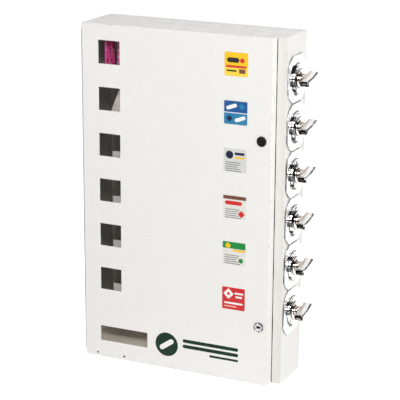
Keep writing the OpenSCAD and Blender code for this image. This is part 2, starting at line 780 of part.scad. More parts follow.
// Places a piece on the two rivets at the foot of the door
module at_foot_rivets() for (i = [0, 1])
    translate([left + foot_rivet_inset + i * foot_rivet_pitch, face, bottom + foot_rivet_rise]) children();

// The small dark rivets at the foot of the door
module door_rivets() color("dimgray") at_foot_rivets() {
    bar_y(foot_shank_r, sheet_t);
    translate([0, -foot_rivet_h, 0]) bar_y(foot_rivet_r, foot_rivet_h);
}

for (k = rows) {
    tray(k);
    mech_plate(k);
    mech_housing(k);
    handle(k);
    spindle(k);
    coil(k);
}
cabinet_shell();
back_panel();
tray_rivets();
mech_nuts();
coin_channel();
coin_box();
drop_chute();
delivery_bin();
hinge_cabinet_leaf();
hinge_pin();
stock_packs();
door_panel();
window_glazing();
glazing_rails();
product_cards();
hinge_door_leaf();
upper_lock_barrel();
upper_lock_plug();
upper_lock_cam();
lower_lock_barrel();
lower_lock_plug();
lower_lock_cam();
lock_nuts();
door_rivets();
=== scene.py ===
from math import cos, hypot, pi, radians, sin

import bmesh
import bpy
from mathutils import Matrix, Vector, noise


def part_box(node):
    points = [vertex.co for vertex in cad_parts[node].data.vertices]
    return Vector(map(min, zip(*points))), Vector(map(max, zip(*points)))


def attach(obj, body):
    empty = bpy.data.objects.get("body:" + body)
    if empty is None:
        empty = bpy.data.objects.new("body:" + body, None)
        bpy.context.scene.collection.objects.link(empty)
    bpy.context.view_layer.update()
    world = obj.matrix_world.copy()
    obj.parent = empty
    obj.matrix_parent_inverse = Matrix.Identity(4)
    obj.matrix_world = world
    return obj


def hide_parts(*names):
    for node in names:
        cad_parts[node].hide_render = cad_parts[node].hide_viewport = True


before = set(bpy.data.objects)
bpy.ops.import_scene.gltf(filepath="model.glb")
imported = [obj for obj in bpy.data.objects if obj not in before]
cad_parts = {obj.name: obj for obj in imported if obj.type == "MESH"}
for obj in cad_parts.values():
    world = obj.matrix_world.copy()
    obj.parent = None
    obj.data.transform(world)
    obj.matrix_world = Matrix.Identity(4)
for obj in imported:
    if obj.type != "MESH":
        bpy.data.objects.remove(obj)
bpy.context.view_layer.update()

# Cabinet shell: five steel sheets, the front frame, the top, the bottom and the two sides, welded edge
# to edge, filed smooth at the corners and sprayed with a warm white stove enamel.
MM = 0.001


def tone(red, green, blue):
    """A colour given as it looks, from 0 to 255, as a shader colour."""
    return [c / 3294.6 if c <= 10 else ((c / 255 + 0.055) / 1.055) ** 2.4 for c in (red, green, blue)] + [1.0]


def darker(colour, share):
    return [c * share for c in colour[:3]] + [1.0]


def wired(tree, kind, inputs=(), **settings):
    """A node with its settings, its inputs set to values or joined to other nodes' outputs."""
    node = tree.nodes.new(kind)
    for key, value in settings.items():
        setattr(node, key, value)
    for key, value in dict(inputs).items():
        if isinstance(value, bpy.types.NodeSocket):
            tree.links.new(value, node.inputs[key])
        else:
            node.inputs[key].default_value = value
    return node


def sums(tree, operation, a, b=0.0):
    return wired(tree, "ShaderNodeMath", {0: a, 1: b}, operation=operation).outputs[0]


def graded(tree, value, low, high, start=0.0, end=1.0):
    """A value eased from start to end while it goes from low to high."""
    return wired(tree, "ShaderNodeMapRange", {0: value, 1: low, 2: high, 3: start, 4: end},
                 interpolation_type="SMOOTHSTEP").outputs[0]


def vectors(tree, operation, a, b=(0, 0, 0)):
    return wired(tree, "ShaderNodeVectorMath", {0: a, 1: b}, operation=operation).outputs[0]


def split(tree, vector):
    return wired(tree, "ShaderNodeSeparateXYZ", {0: vector}).outputs


def both(tree, *masks):
    """Where all the masks are, as one mask."""
    whole = masks[0]
    for mask in masks[1:]:
        whole = sums(tree, "MULTIPLY", whole, mask)
    return whole


def mixed(tree, share, a, b):
    return wired(tree, "ShaderNodeMix", {0: share, 6: a, 7: b}, data_type="RGBA").outputs[2]


def clouds(tree, vector, scale, detail=2.0, roughness=0.5):
    return wired(tree, "ShaderNodeTexNoise", {"Vector": vector, "Scale": scale, "Detail": detail,
                                              "Roughness": roughness}).outputs[0]


def effect(name, inputs, outputs):
    """An empty group for an effect that several finishes share, with its two ends."""
    group = bpy.data.node_groups.new(name, "ShaderNodeTree")
    for socket, value in inputs.items():
        kind = "NodeSocketFloat" if isinstance(value, float) else "NodeSocketVector"
        group.interface.new_socket(socket, in_out="INPUT", socket_type=kind).default_value = value
    for socket in outputs:
        group.interface.new_socket(socket, in_out="OUTPUT", socket_type="NodeSocketFloat")
    return group, group.nodes.new("NodeGroupInput").outputs, group.nodes.new("NodeGroupOutput").inputs


def placed(tree, group, **inputs):
    return wired(tree, "ShaderNodeGroup", {k.replace("_", " "): v for k, v in inputs.items()},
                 node_tree=group).outputs


spray_peel, given, made = effect("spray_peel", {"Vector": (0, 0, 0), "Scale": 420.0}, ("Height", "Mottle"))
fine = clouds(spray_peel, given["Vector"], given["Scale"], 1.5, 0.45)
spray_peel.links.new(fine, made["Height"])
broad = sums(spray_peel, "ADD", clouds(spray_peel, given["Vector"], 260.0, 2.0),
             sums(spray_peel, "MULTIPLY", clouds(spray_peel, given["Vector"], 34.0, 3.0, 0.6), 0.35))
spray_peel.links.new(graded(spray_peel, broad, 0.5, 0.86), made["Mottle"])

corner_rub, given, made = effect(
    "corner_rub", {"Vector": (0, 0, 0), "Low": (0, 0, 0), "High": (1, 1, 1), "Reach": 4 * MM},
    ("Rub", "Depth"))
past_low = vectors(corner_rub, "SUBTRACT", given["Vector"], given["Low"])
past_high = vectors(corner_rub, "SUBTRACT", given["High"], given["Vector"])
nearest = vectors(corner_rub, "MINIMUM", past_low, past_high)
near_x, near_y, near_z = split(corner_rub, nearest)
least = sums(corner_rub, "MINIMUM", near_x, near_y)
middle = sums(corner_rub, "MAXIMUM", least,
              sums(corner_rub, "MINIMUM", sums(corner_rub, "MAXIMUM", near_x, near_y), near_z))
close = sums(corner_rub, "DIVIDE", middle, given["Reach"])
patchy = graded(corner_rub, clouds(corner_rub, given["Vector"], 95.0, 6.0, 0.7), 0.5, 0.68)
corner_rub.links.new(both(corner_rub, graded(corner_rub, close, 1.0, 0.15), patchy), made["Rub"])
corner_rub.links.new(sums(corner_rub, "MINIMUM", least, near_z), made["Depth"])

settled_dust, given, made = effect("settled_dust", {"Vector": (0, 0, 0), "Amount": 0.3}, ("Dust",))
upward = split(settled_dust, wired(settled_dust, "ShaderNodeNewGeometry").outputs["Normal"])[2]
drift = graded(settled_dust, clouds(settled_dust, given["Vector"], 46.0, 5.0, 0.65), 0.4, 0.7)
lying = both(settled_dust, graded(settled_dust, upward, 0.6, 1.0), drift, given["Amount"])
settled_dust.links.new(lying, made["Dust"])


def finish(name):
    """A new material, its node tree, its shader and the place on the piece."""
    material = bpy.data.materials.new(name)
    material.use_nodes = True
    tree = material.node_tree
    return material, tree, tree.nodes["Principled BSDF"], wired(tree, "ShaderNodeTexCoord").outputs["Object"]


def raised(tree, shader, height, depth, strength=1.0):
    bump = wired(tree, "ShaderNodeBump", {"Height": height, "Strength": strength, "Distance": depth})
    tree.links.new(bump.outputs[0], shader.inputs["Normal"])


def enamel(name, colour, low, high, rub=0.5, lining=None, marks=None):
    """Stove enamel on a piece that fills a box: spray peel, cloudy tone, dust and rubbed corners."""
    material, tree, shader, place = finish(name)
    peel = placed(tree, spray_peel, Vector=place)
    edges = placed(tree, corner_rub, Vector=place, Low=low, High=high)
    dust = placed(tree, settled_dust, Vector=place, Amount=0.18)["Dust"]
    shade = mixed(tree, peel["Mottle"], darker(colour, 0.965), colour)
    if lining:
        shade = mixed(tree, graded(tree, edges["Depth"], 0.4 * MM, 0.9 * MM), shade, lining)
    for mask, mark in marks(tree, place) if marks else ():
        shade = mixed(tree, mask, shade, mark)
    shade = mixed(tree, dust, shade, tone(176, 170, 158))
    worn = both(tree, edges["Rub"], rub)
    tree.links.new(mixed(tree, worn, shade, tone(168, 166, 162)), shader.inputs["Base Color"])
    tree.links.new(graded(tree, peel["Mottle"], 0.0, 1.0, 0.6, 0.5), shader.inputs["Roughness"])
    raised(tree, shader, peel["Height"], 0.12 * MM, 0.5)
    return material


def worked_in(piece):
    """Works a piece's modifiers into its own plain mesh."""
    bpy.context.view_layer.update()
    mesh = bpy.data.meshes.new_from_object(piece.evaluated_get(bpy.context.evaluated_depsgraph_get()))
    piece.modifiers.clear()
    piece.data = mesh


def new_piece(name, mesh, material):
    piece = bpy.data.objects.new(name, mesh)
    bpy.context.scene.collection.objects.link(piece)
    if material:
        mesh.materials.clear()
        mesh.materials.append(material)
    return piece


def fixed(piece, body, slot, *nodes):
    """Fixes a finished piece to its body and hides the CAD solids it stands for; the slot is not used."""
    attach(piece, body)
    if nodes:
        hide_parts(*nodes)
    return piece


MERGE = 0.004 * MM


def on_sides(low, high, place):
    """How many sides of a box a place in mm lies on."""
    return sum(abs(a - b) < 0.1 for p, q, a in zip(low / MM, high / MM, place) for b in (p, q))


def soft_edged(node, body, slot, material, rounding, segments=2, sharp=32):
    """A copy of a CAD solid with its edges rounded; rounding gives the radius in mm at a place in mm."""
    bm = bmesh.new()
    bm.from_mesh(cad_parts[node].data)
    bmesh.ops.remove_doubles(bm, verts=bm.verts, dist=MERGE)
    bmesh.ops.dissolve_limit(bm, angle_limit=radians(0.4), verts=bm.verts, edges=bm.edges)
    weight = bm.edges.layers.float.new("bevel_weight_edge")
    radii = {}
    for edge in bm.edges:
        if edge.is_manifold and edge.calc_face_angle(0.0) > radians(sharp):
            place = (edge.verts[0].co + edge.verts[1].co) / 2 / MM
            radius = rounding(*place) if callable(rounding) else rounding
            if radius:
                radii[edge] = radius
    widest = max(radii.values())
    for edge, radius in radii.items():
        edge[weight] = radius / widest
    for face in bm.faces:
        face.smooth = True
    mesh = bpy.data.meshes.new(node)
    bm.to_mesh(mesh)
    bm.free()
    piece = new_piece(node + "_finished", mesh, material)
    bevel = piece.modifiers.new("rounded edges", "BEVEL")
    bevel.width, bevel.segments, bevel.limit_method = widest * MM, segments, "WEIGHT"
    bevel.use_clamp_overlap = False
    piece.modifiers.new("flat faces", "WEIGHTED_NORMAL").keep_sharp = True
    worked_in(piece)
    low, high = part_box(node)
    for vert in piece.data.vertices:
        vert.co = [min(max(c, a), b) for c, a, b in zip(vert.co, low, high)]
    return fixed(piece, body, slot, node)


shell_low, shell_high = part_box("cabinet_shell")
warm_white = tone(238, 236, 233)
lining_grey = tone(168, 162, 152)


def strip_shade(tree, place):
    """Painted shade: the strip of the front frame beside the door, greyed over its whole face, a little
    unevenly.
    """
    across, along, _ = split(tree, place)
    beside = graded(tree, across, shell_high.x - 24 * MM, shell_high.x - 22 * MM)
    fore = graded(tree, along, shell_low.y + 0.8 * MM, shell_low.y + 0.3 * MM)
    uneven = graded(tree, clouds(tree, place, 16.0, 4.0, 0.6), 0.3, 0.7, 0.75, 1.0)
    return ((both(tree, beside, fore, uneven), tone(221, 218, 214)),)


# The cabinet enamel carries the painted shade on the strip beside the door.
shell_enamel = enamel("cabinet_enamel", warm_white, shell_low, shell_high, 0.45, lining_grey, strip_shade)


def shell_rounding(x, y, z):
    """Filed corners at the outside of the box; the welded seams between the sheets are flush."""
    return 1.0 if on_sides(shell_low, shell_high, (x, y, z)) > 1 else 0.0


soft_edged("cabinet_shell", "cabinet", "paint", shell_enamel, shell_rounding, 3)

# Back panel: a flat sheet let into the rear of the shell and welded round its edge, with four bolt holes for
# the wall. Same enamel, in the grey of the lining.
back_enamel = enamel("back_enamel", lining_grey, *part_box("back_panel"), 0.3)
soft_edged("back_panel", "cabinet", "paint", back_enamel, 0.25)

# Trays: one folded sheet for each row, with a lip at the front that keeps the packs in, low in the two
# upper rows, and a flange at the back for three rivets. Enamelled before they are riveted in.
ROWS = range(1, 7)
for k in ROWS:
    tray_enamel = enamel(f"tray_enamel_{k}", tone(232, 229, 223), *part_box(f"tray_{k}"), 0.6)
    soft_edged(f"tray_{k}", "cabinet", "paint", tray_enamel, 0.35)

# Tray rivets: steel rivets with a low domed head, closed through the tray flange and the back panel,
# zinc plated. Three hold each tray.


def islands(node):
    """The box of each separate solid of a CAD node, lowest corner and highest corner."""
    bm = bmesh.new()
    bm.from_mesh(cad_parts[node].data)
    bmesh.ops.remove_doubles(bm, verts=bm.verts, dist=MERGE)
    left, found = set(bm.verts), []
    while left:
        front, group = [left.pop()], []
        while front:
            vert = front.pop()
            group.append(vert.co.copy())
            for other in (e.other_vert(vert) for e in vert.link_edges):
                if other in left:
                    left.discard(other)
                    front.append(other)
        found.append(tuple(Vector(pick(p[i] for p in group) for i in range(3)) for pick in (min, max)))
    bm.free()
    return sorted(found, key=lambda box: tuple(box[0]))


def node_tree(name, inputs):
    """An empty Geometry Nodes tree with named sizes and a material, with its two ends."""
    tree = bpy.data.node_groups.new(name, "GeometryNodeTree")
    tree.interface.new_socket("Geometry", in_out="INPUT", socket_type="NodeSocketGeometry")
    for socket in inputs:
        tree.interface.new_socket(socket, in_out="INPUT", socket_type="NodeSocketFloat")
    tree.interface.new_socket("Finish", in_out="INPUT", socket_type="NodeSocketMaterial")
    tree.interface.new_socket("Geometry", in_out="OUTPUT", socket_type="NodeSocketGeometry")
    return tree, tree.nodes.new("NodeGroupInput").outputs, tree.nodes.new("NodeGroupOutput").inputs


def closed_tree(tree, geometry, material, made):
    """Ends a tree with real, smooth-edged geometry in its material."""
    real = wired(tree, "GeometryNodeRealizeInstances", {0: geometry}).outputs[0]
    smooth = wired(tree, "GeometryNodeSetShadeSmooth", {0: real}).outputs[0]
    tree.links.new(wired(tree, "GeometryNodeSetMaterial", {0: smooth, "Material": material}).outputs[0],
                   made["Geometry"])


def grown(name, tree, points, material, edges=(), **sizes):
    """A piece that a tree makes on points and edges with its sizes, as a plain mesh."""
    mesh = bpy.data.meshes.new(name)
    mesh.from_pydata([tuple(p) for p in points], list(edges), [])
    piece = new_piece(name, mesh, None)
    grower = piece.modifiers.new(name, "NODES")
    grower.node_group = tree
    for socket in tree.interface.items_tree:
        if socket.in_out == "INPUT" and socket.name in sizes:
            grower[socket.identifier] = sizes[socket.name]
        elif socket.in_out == "INPUT" and socket.name == "Finish":
            grower[socket.identifier] = material
    worked_in(piece)
    piece.data.set_sharp_from_angle(angle=radians(35))
    return piece


rivet_tree, given, made = node_tree("domed_rivets", ("Radius", "Height", "Shank", "Length", "Turn"))
dome = wired(rivet_tree, "GeometryNodeMeshUVSphere", {"Segments": 20, "Rings": 12, "Radius": 1.0}).outputs[0]
size = wired(rivet_tree, "ShaderNodeCombineXYZ", {0: given["Radius"], 1: given["Radius"], 2: given["Height"]})
dome = wired(rivet_tree, "GeometryNodeTransform", {"Geometry": dome, "Scale": size.outputs[0]}).outputs[0]
rod = wired(rivet_tree, "GeometryNodeMeshCylinder", {"Vertices": 16, "Radius": given["Shank"],
                                                     "Depth": given["Length"]}).outputs[0]
sunk = wired(rivet_tree, "ShaderNodeCombineXYZ", {2: sums(rivet_tree, "MULTIPLY", given["Length"], -0.5)})
rod = wired(rivet_tree, "GeometryNodeTransform", {"Geometry": rod, "Translation": sunk.outputs[0]}).outputs[0]
whole = rivet_tree.nodes.new("GeometryNodeJoinGeometry")
rivet_tree.links.new(dome, whole.inputs[0])
rivet_tree.links.new(rod, whole.inputs[0])
turn = wired(rivet_tree, "ShaderNodeCombineXYZ", {0: given["Turn"]})
many = wired(rivet_tree, "GeometryNodeInstanceOnPoints",
             {"Points": given["Geometry"], "Instance": whole.outputs[0], "Rotation": turn.outputs[0]})
closed_tree(rivet_tree, many.outputs[0], given["Finish"], made)

rolled_grain, given, made = effect("rolled_grain", {"Vector": (0, 0, 0), "Stretch": (1, 1, 1)},
                                   ("Grain", "Smear"))
drawn = vectors(rolled_grain, "MULTIPLY", given["Vector"], given["Stretch"])
rolled_grain.links.new(clouds(rolled_grain, drawn, 1.0, 3.0, 0.6), made["Grain"])
smear = clouds(rolled_grain, given["Vector"], 38.0, 5.0, 0.62)
rolled_grain.links.new(graded(rolled_grain, smear, 0.38, 0.68), made["Smear"])


def zinc(name, colour, stretch, rough=0.36):
    """Zinc-plated steel: a dull metal with drawn grain, cloudy plating and a little settled dust."""
    material, tree, shader, place = finish(name)
    grain = placed(tree, rolled_grain, Vector=place, Stretch=stretch)
    dust = placed(tree, settled_dust, Vector=place, Amount=0.4)["Dust"]
    plated = mixed(tree, grain["Smear"], colour, darker(colour, 0.72))
    tree.links.new(mixed(tree, dust, plated, tone(150, 145, 136)), shader.inputs["Base Color"])
    tree.links.new(graded(tree, grain["Smear"], 0.0, 1.0, rough, rough + 0.16), shader.inputs["Roughness"])
    tree.links.new(sums(tree, "SUBTRACT", 1.0, dust), shader.inputs["Metallic"])
    raised(tree, shader, grain["Grain"], 0.03 * MM, 0.35)
    return material


def rivets(node, body, material, face_y, shank, length):
    """Rivets with a domed head on a face and a shank behind it, its radius a share of the head's."""
    boxes = islands(node)
    low, high = boxes[0]
    head = (high.x - low.x) / 2
    places = [((a.x + b.x) / 2, face_y, (a.z + b.z) / 2) for a, b in boxes]
    piece = grown(f"{node}_domed", rivet_tree, places, material, Radius=head, Height=face_y - low.y,
                  Shank=head * shank, Length=length, Turn=radians(90))
    fixed(piece, body, "zinc", node)


zinc_plate = zinc("zinc_plate", tone(196, 198, 200), (260, 260, 40))
sheet = 1.2 * MM
flange_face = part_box("tray_rivets")[1].y - 2 * sheet
rivets("tray_rivets", "cabinet", zinc_plate, flange_face, 0.55, 2 * sheet)

# Drop chute and delivery bin: a curved sheet turns the fallen pack towards the front, and an open bin
# holds it behind the slot. Bent from sheet, enamelled like the cabinet, scuffed by the packs.
for node in ("drop_chute", "delivery_bin"):
    chute_enamel = enamel(f"{node}_enamel", tone(240, 232, 216), *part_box(node), 0.8)
    soft_edged(node, "cabinet", "paint", chute_enamel, 0.3)

# Coin works behind the right wall: a housing for each row, an upright channel that leads the coins
# down and the box that catches them. Folded from zinc-plated sheet, left bare.
zinc_box = zinc("zinc_box", tone(190, 193, 196), (220, 40, 220), 0.4)
soft_edged("coin_channel", "cabinet", "zinc", zinc_plate, 0.25)
soft_edged("coin_box", "cabinet", "zinc", zinc_box, 0.4)
for k in ROWS:
    soft_edged(f"mech_housing_{k}", "cabinet", "zinc", zinc_box, 0.3)

# Coin mechanism plates: die-cast shields with a raised drum, a recess for the handle and a coin slot,
# polished and chrome plated. Two studs each go through the wall and take a nut inside.
row_axis = [((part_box(f"handle_{k}")[0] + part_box(f"handle_{k}")[1]) / 2).yz / MM for k in ROWS]
wall_x = shell_high.x / MM


def chrome(name, colour, stretch, rough=0.05, marks=None, metal=1.0):
    """Bright chrome on a casting: hand smears, fine pits and the marks that are given, of grime, wear and
    painted shade.
    """
    material, tree, shader, place = finish(name)
    grain = placed(tree, rolled_grain, Vector=place, Stretch=stretch)
    dust = placed(tree, settled_dust, Vector=place, Amount=0.12)["Dust"]
    pit = wired(tree, "ShaderNodeTexVoronoi", {"Vector": place, "Scale": 700.0}).outputs[0]
    patches = graded(tree, clouds(tree, place, 60.0, 3.0), 0.52, 0.62)
    pitted = both(tree, graded(tree, pit, 0.12, 0.04), patches)
    shade = mixed(tree, grain["Smear"], colour, darker(colour, 0.92))
    for mask, mark in marks(tree, place) if marks else ():
        shade = mixed(tree, mask, shade, mark)
    shade = mixed(tree, both(tree, pitted, 0.5), shade, tone(120, 110, 98))
    tree.links.new(mixed(tree, dust, shade, tone(170, 165, 156)), shader.inputs["Base Color"])
    smeared = graded(tree, grain["Smear"], 0.0, 1.0, rough, rough + 0.07)
    tree.links.new(sums(tree, "ADD", smeared, both(tree, pitted, 0.3)), shader.inputs["Roughness"])
    shader.inputs["Metallic"].default_value = metal
    raised(tree, shader, grain["Grain"], 0.02 * MM, 0.25)
    return material


def off_middle(tree, ways, middle):
    """How far two ways lie from a middle in mm, each by itself and then straight out."""
    first, second = (sums(tree, "ABSOLUTE", sums(tree, "SUBTRACT", way, at * MM))
                     for way, at in zip(ways, middle))
    out = sums(tree, "ADD", both(tree, first, first), both(tree, second, second))
    return first, second, sums(tree, "SQRT", out)


def near(tree, way, at, soft):
    """Shades in over a soft step at a distance in mm: past it where soft is above 0, else short of it."""
    return graded(tree, way, (at - soft) * MM, (at + soft) * MM)


plate_corner, plate_face, drum_r, drum_face = 48.5, wall_x + 4, 27.0, wall_x + 8
for k, (y_axis, z_axis) in enumerate(row_axis, 1):
    plate_low, plate_high = (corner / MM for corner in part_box(f"mech_plate_{k}"))

    def plate_rim_grime_and_shade(tree, place):
        """The plate's edge drawn darker, partly as-cast rim and grime, partly painted shade; painted shade
        round the drum's foot, on the drum's face towards the front and on the plate below the drum.
        """
        across, ahead, above = split(tree, place)
        along, up, out = off_middle(tree, (ahead, above), (y_axis, z_axis))
        # Darker rim along the plate's edge: the as-cast edge with grime, and painted shade along it.
        edge = near(tree, out, plate_corner - 1.1, 0.3)
        half = (plate_high - plate_low) / 2
        for way, reach in ((along, half.y), (up, half.z)):
            edge = sums(tree, "MAXIMUM", edge, near(tree, way, reach - 1.1, 0.3))
        broken = graded(tree, clouds(tree, place, 70.0, 3.0), 0.35, 0.6, 0.25, 0.85)
        # Painted shade: a dark ring on the plate round the foot of the drum.
        flat = near(tree, across, plate_face, -0.4)
        foot = both(tree, near(tree, out, drum_r + 1.5, -0.7), flat)
        # Patches over which the painted shade on the drum's face and below the drum is spread.
        worn = graded(tree, clouds(tree, place, 55.0, 3.0), 0.36, 0.5, 0.3, 1.0)
        # Painted shade: a dark patch on the drum's face towards the front.
        drum_face_shade = both(tree, near(tree, ahead, y_axis - 15, -1),
                       near(tree, across, drum_face - 0.4, 0.2), worn)
        # Painted shadow: a grey band on the plate below the drum.
        shadow_below_drum = both(tree, near(tree, above, z_axis - 16, -4), near(tree, out, drum_r + 5.5, -1.5), worn, flat)
        return ((both(tree, edge, broken), tone(128, 126, 124)), (foot, tone(26, 24, 22)),
                (drum_face_shade, tone(24, 22, 21)), (shadow_below_drum, tone(74, 72, 70)))

    def plate_rounding(x, y, z):
        """Cast outline, turned drum rim, then the punched slot and the studs."""
        out = hypot(y - y_axis, z - z_axis)
        if x > wall_x - 0.1 and out > drum_r + 3:
            return 1.1
        return 0.7 if x > plate_face - 0.5 and out > drum_r - 1 else 0.3

    plate_chrome = chrome(f"plate_chrome_{k}", tone(250, 250, 251), (45, 45, 45), marks=plate_rim_grime_and_shade)
    soft_edged(f"mech_plate_{k}", "cabinet", "chrome", plate_chrome, plate_rounding, 3)
soft_edged("mech_nuts", "cabinet", "zinc", zinc_plate, 0.4)

# Turning handles: die-cast butterfly handles with a round foot that sits in the drum's recess and a
# short hub, polished and chrome plated. The fingers hold the two flat ears.
handle_end, handle_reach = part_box("handle_1")[1].x / MM, 27.5
hub_r, foot_r = 9.0, 18.0


def handle_rounding(x, y, z):
    """Ears with a generous cast radius, rounder at the ends, and a turned rim on the foot and the hub."""
    if x > handle_end - 0.1:
        return 4.0
    return 2.2 if x > drum_face + 9 else 0.5


for k, (y_axis, z_axis) in enumerate(row_axis, 1):
    def handle_wear_and_shade(tree, place):
        """Copper showing through on the hub, the outer edges of the ears and the rims of their ends darker in
        patches, and painted shade in a dark ring round the hub's root and the foot's rim, where the handle
        sits in the drum.
        """
        across, *ways = split(tree, place)
        out = off_middle(tree, ways, (y_axis, z_axis))[2]
        hub = both(tree, near(tree, across, drum_face + 1.9, 0.5), near(tree, across, drum_face + 15.5, -2.5))
        tips = both(tree, near(tree, across, drum_face + 8.9, 0.3), near(tree, out, handle_reach - 1.8, 0.6))
        rim = both(tree, near(tree, across, handle_end - 3, 0.4), near(tree, across, handle_end - 0.6, -0.2))
        worn = sums(tree, "MAXIMUM", tips, rim)
        broken = graded(tree, clouds(tree, place, 90.0, 3.0), 0.36, 0.52, 0.35, 0.95)
        # Painted shade: a dark ring round the hub's root and the foot's rim, where the handle sits in the
        # drum's recess.
        ring = sums(tree, "MAXIMUM", near(tree, out, hub_r + 2.1, -0.5), near(tree, out, foot_r - 0.9, 0.3))
        foot_crevice_shade = both(tree, ring, near(tree, across, drum_face + 1.7, -0.5))
        return ((both(tree, hub, 0.9), tone(206, 194, 184)), (both(tree, worn, broken), tone(48, 45, 43)),
                (foot_crevice_shade, tone(30, 27, 25)))

    handle_chrome = chrome(f"handle_chrome_{k}", tone(246, 246, 246), (70, 70, 70), marks=handle_wear_and_shade)
    soft_edged(f"handle_{k}", f"vend_{k}", "chrome", handle_chrome, handle_rounding, 4)

# Spindles: turned steel shafts with a coin carrier and a drive disc, zinc plated. The handle is
# pressed on one end, and the coil is welded to the disc.
zinc_turned = zinc("zinc_turned", tone(186, 188, 190), (40, 320, 320), 0.3)
for k in ROWS:
    soft_edged(f"spindle_{k}", f"vend_{k}", "zinc", zinc_turned, 0.3)

# Vend coils: spring-steel wire of 4 mm that leaves the drive disc square, bends round and winds to the
# left, one pack to a turn. Nickel plated, with draw marks along the wire.
coil_tree, given, made = node_tree("wound_wire", ("Wire",))
route = wired(coil_tree, "GeometryNodeMeshToCurve", {0: given["Geometry"]}).outputs[0]
section = wired(coil_tree, "GeometryNodeCurvePrimitiveCircle",
                {"Resolution": 10, "Radius": given["Wire"]}).outputs[0]
wire = wired(coil_tree, "GeometryNodeCurveToMesh", {0: route, 1: section, "Fill Caps": True}).outputs[0]
closed_tree(coil_tree, wire, given["Finish"], made)

wire_nickel = zinc("wire_nickel", tone(206, 204, 198), (420, 420, 420), 0.24)
wire_r, wind_r, pitch, bend_r = 2.0, 30.0, 25.4, 6.0
turn_length, per_turn = 2 * pi * wind_r, 40
for k in ROWS:
    low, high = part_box(f"coil_{k}")
    axis_y, axis_z = (low.y + high.y) / 2 / MM, row_axis[k - 1][1]
    disc_x, end_x = high.x / MM, low.x / MM + wire_r
    bend_x = disc_x - 2 * wire_r
    last = radians(90) - pitch / turn_length
    way = [(0.0, disc_x)] + [(bend_r * (1 - cos(last * i / 10)), bend_x - bend_r * sin(last * i / 10))
                             for i in range(11)]
    from_s, from_x = way[-1]
    steps = int((from_x - end_x) / pitch * per_turn)
    way += [(from_s + turn_length * i / per_turn, from_x - pitch * i / per_turn) for i in range(1, steps + 1)]
    points = [(x * MM, (axis_y + wind_r * cos(s / wind_r)) * MM, (axis_z + wind_r * sin(s / wind_r)) * MM)
              for s, x in way]
    links = [(i, i + 1) for i in range(len(points) - 1)]
    piece = grown(f"coil_{k}_wound", coil_tree, points, wire_nickel, links, Wire=wire_r * MM)
    fixed(piece, f"vend_{k}", "wire", f"coil_{k}")

# Packs in stock: flat film pouches with a crimped seal at each end, blown up a little and creased.
# Two bright pink ones stand in the top row, and a pale sachet leans on the coil in the second.


def film(name, colour, dark, glint_tone, crease, rough):
    """Printed film: creased all over, with painted shade darkening the folds and paler streaks where the
    print thins out, which also stand in for glints as painted highlights.
    """
    material, tree, shader, place = finish(name)
    fold = clouds(tree, place, 150.0, 5.0, 0.62)
    streak = placed(tree, rolled_grain, Vector=place, Stretch=(190, 190, 90))
    # Painted shade in the folds, then the paler streaks, which are partly painted highlights.
    shade = mixed(tree, graded(tree, fold, 0.32, 0.52), dark, colour)
    shade = mixed(tree, graded(tree, streak["Grain"], 0.55, 0.68), shade, glint_tone)
    tree.links.new(shade, shader.inputs["Base Color"])
    tree.links.new(graded(tree, streak["Smear"], 0.0, 1.0, rough, rough + 0.14), shader.inputs["Roughness"])
    raised(tree, shader, fold, crease, 0.8)
    return material


pink_film = film("pink_film", tone(255, 92, 178), tone(228, 26, 122), tone(255, 232, 243), 1.2 * MM, 0.2)
pale_film = film("pale_film", tone(250, 238, 230), tone(234, 220, 212), tone(254, 248, 244), 0.2 * MM, 0.45)


def bridged(bm, rings):
    """Faces between closed rings of points, from each ring to the next."""
    for a, b in zip(rings, rings[1:]):
        for i in range(len(a)):
            j = (i + 1) % len(a)
            bm.faces.new((a[i], a[j], b[j], b[i]))


def shaped(name, bm, material):
    """A piece from a closed mesh that was built up face by face."""
    bmesh.ops.recalc_face_normals(bm, faces=bm.faces)
    mesh = bpy.data.meshes.new(name)
    bm.to_mesh(mesh)
    bm.free()
    return new_piece(name, mesh, material)


def pouch(name, wide, tall, stand, material, seed, crush, across=44, up=70):
    """A crushed pouch with two seals, stood by a matrix in mm on a corner of its lower seal."""
    thick, seal = 7.5, 9.0
    bm = bmesh.new()
    sides = []
    for side in (-1, 1):
        grid = []
        for j in range(up + 1):
            h = j / up
            row = []
            for i in range(across + 1):
                w = i / across
                end = min(h, 1 - h) * tall
                rim = min(w, 1 - w) * wide
                swell = min(1.0, max(0.0, (end - seal * 0.9) / 20)) ** 0.5 * min(1.0, rim / 10) ** 0.5
                wrinkle = 0.5 - 1.5 * abs(noise.noise(Vector((w * 3.4 + seed, h * 6.2, side * 3.0))))
                wrinkle += 0.3 - 0.9 * abs(noise.noise(Vector((w * 9 + seed, h * 13, side * 5.0))))
                crimp = 0.12 * sin(end * 2 * pi / 1.5) if end < seal * 0.9 else 0.0
                depth = 0.3 + swell * max(0.2, 2.5 + crush * wrinkle)
                x = side * min(depth, thick / 2 - 0.05) + (crimp if rim > 0.1 else 0.0)
                pulled = 1.6 * swell if i in (0, across) else 0.0
                y = w * wide + (pulled if i == 0 else -pulled)
                row.append(bm.verts.new(stand @ Vector((x, y, h * tall)) * MM))
            grid.append(row)
        for a, b in zip(grid, grid[1:]):
            for i in range(across):
                face = (a[i], a[i + 1], b[i + 1], b[i])
                bm.faces.new(face if side > 0 else face[::-1])
        sides.append([*grid[0], *(r[-1] for r in grid[1:]), *grid[-1][-2::-1],
                      *(r[0] for r in grid[-2:0:-1])])
    bridged(bm, sides)
    for face in bm.faces:
        face.smooth = True
    return shaped(name, bm, material)


leaning, first, second = sorted(islands("stock_packs"), key=lambda box: (round(box[0].z, 2), box[0].x))
pack_size, sachet_size, sachet_lean = (38.0, 78.0), (27.0, 66.0), radians(22)


